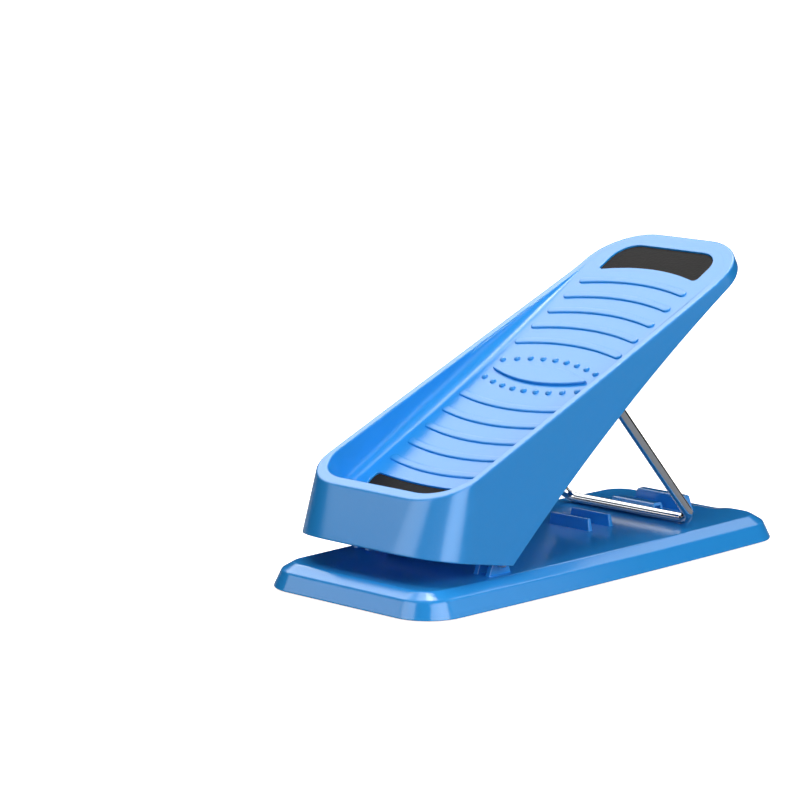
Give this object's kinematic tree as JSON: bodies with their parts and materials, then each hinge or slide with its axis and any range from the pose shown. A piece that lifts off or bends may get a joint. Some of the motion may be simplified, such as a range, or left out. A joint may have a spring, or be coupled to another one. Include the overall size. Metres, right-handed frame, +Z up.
{
  "type": "slant board",
  "caption": "Recessed foot plate hinged at the heel on a low base and propped by a wire bail that drops in front of stepped catches, for stretching the calf.",
  "frame": {"origin": "on the ground, under the middle of the base plate", "axes": "+X to the user's right, +Y from heel to toe, +Z up"},
  "size_m": [0.1356, 0.3, 0.1712],
  "materials": {
    "base_plastic": "glossy moulded blue",
    "plate_plastic": "satin to glossy moulded blue",
    "grip_pad": "fine-grained matt",
    "foot_rubber": "matt",
    "chrome_wire": "bright chrome plate",
    "steel": "drawn bright steel"
  },
  "bodies": {
    "base": {"base_plate": "base_plastic", "foot_heel_left": "foot_rubber", "foot_heel_right": "foot_rubber", "foot_toe_left": "foot_rubber", "foot_toe_right": "foot_rubber", "hinge_rod": "steel", "rod_cap_left": "steel", "rod_cap_right": "steel"},
    "tray": {"foot_plate": "plate_plastic", "toe_pad": "grip_pad", "heel_pad": "grip_pad"},
    "bail": {"bail": "chrome_wire"}
  },
  "joints": [
    {"name": "tray_tilt", "type": "hinge", "parent": "base", "child": "tray", "pos_m": [0, -0.08, 0.0233], "axis": [1, 0, 0], "range_deg": [0, 15.5]},
    {"name": "bail_swing", "type": "hinge", "parent": "tray", "child": "bail", "pos_m": [0, 0.01566, 0.09843], "axis": [1, 0, 0], "range_deg": [-26.4, 0]}
  ],
  "couplings": [
    {"joint": "bail_swing", "follows": "tray_tilt", "ratio": -1.7}
  ]
}
